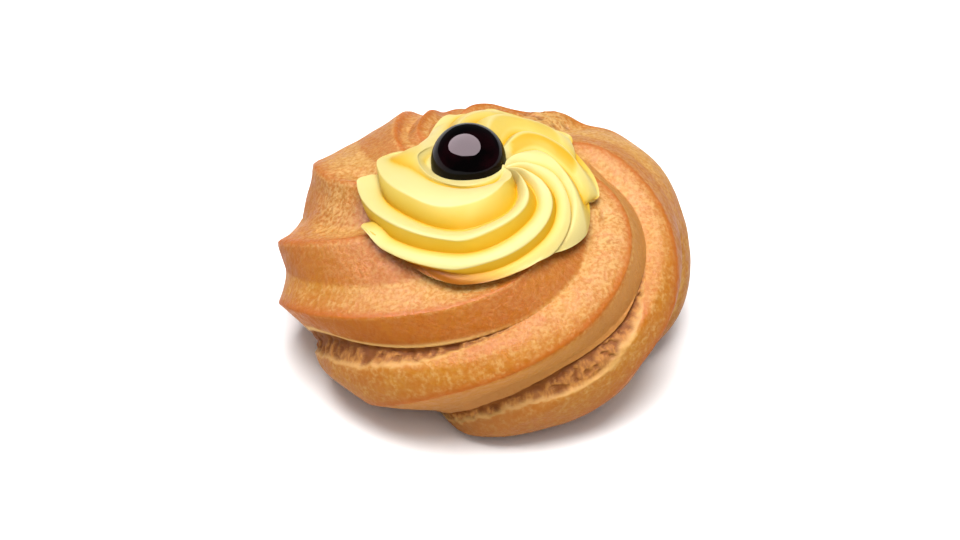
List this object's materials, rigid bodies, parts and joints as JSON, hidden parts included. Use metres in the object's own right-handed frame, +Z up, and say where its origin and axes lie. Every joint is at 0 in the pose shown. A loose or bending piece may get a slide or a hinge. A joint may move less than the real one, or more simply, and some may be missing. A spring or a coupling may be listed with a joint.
{
  "type": "zeppola",
  "caption": "Baked choux pastry bun with swirling piped ridges, topped with a piped custard cream rosette and a dark glossy cherry.",
  "frame": {"origin": "on the axis of the pastry, at its flat underside", "axes": "+Z up through the cherry, -Y towards the side the picture looks from, +X to that view's right"},
  "size_m": [0.0987, 0.0999, 0.0631],
  "materials": {
    "crust": "golden brown baked choux crust, satin, with pale torn stretch marks in the furrows",
    "cream": "smooth pale yellow custard cream, softly translucent",
    "cherry": "nearly black red cherry in syrup, wet and glossy"
  },
  "bodies": {
    "root": {"pastry": "crust", "cream": "cream", "cherry": "cherry"}
  },
  "joints": []
}
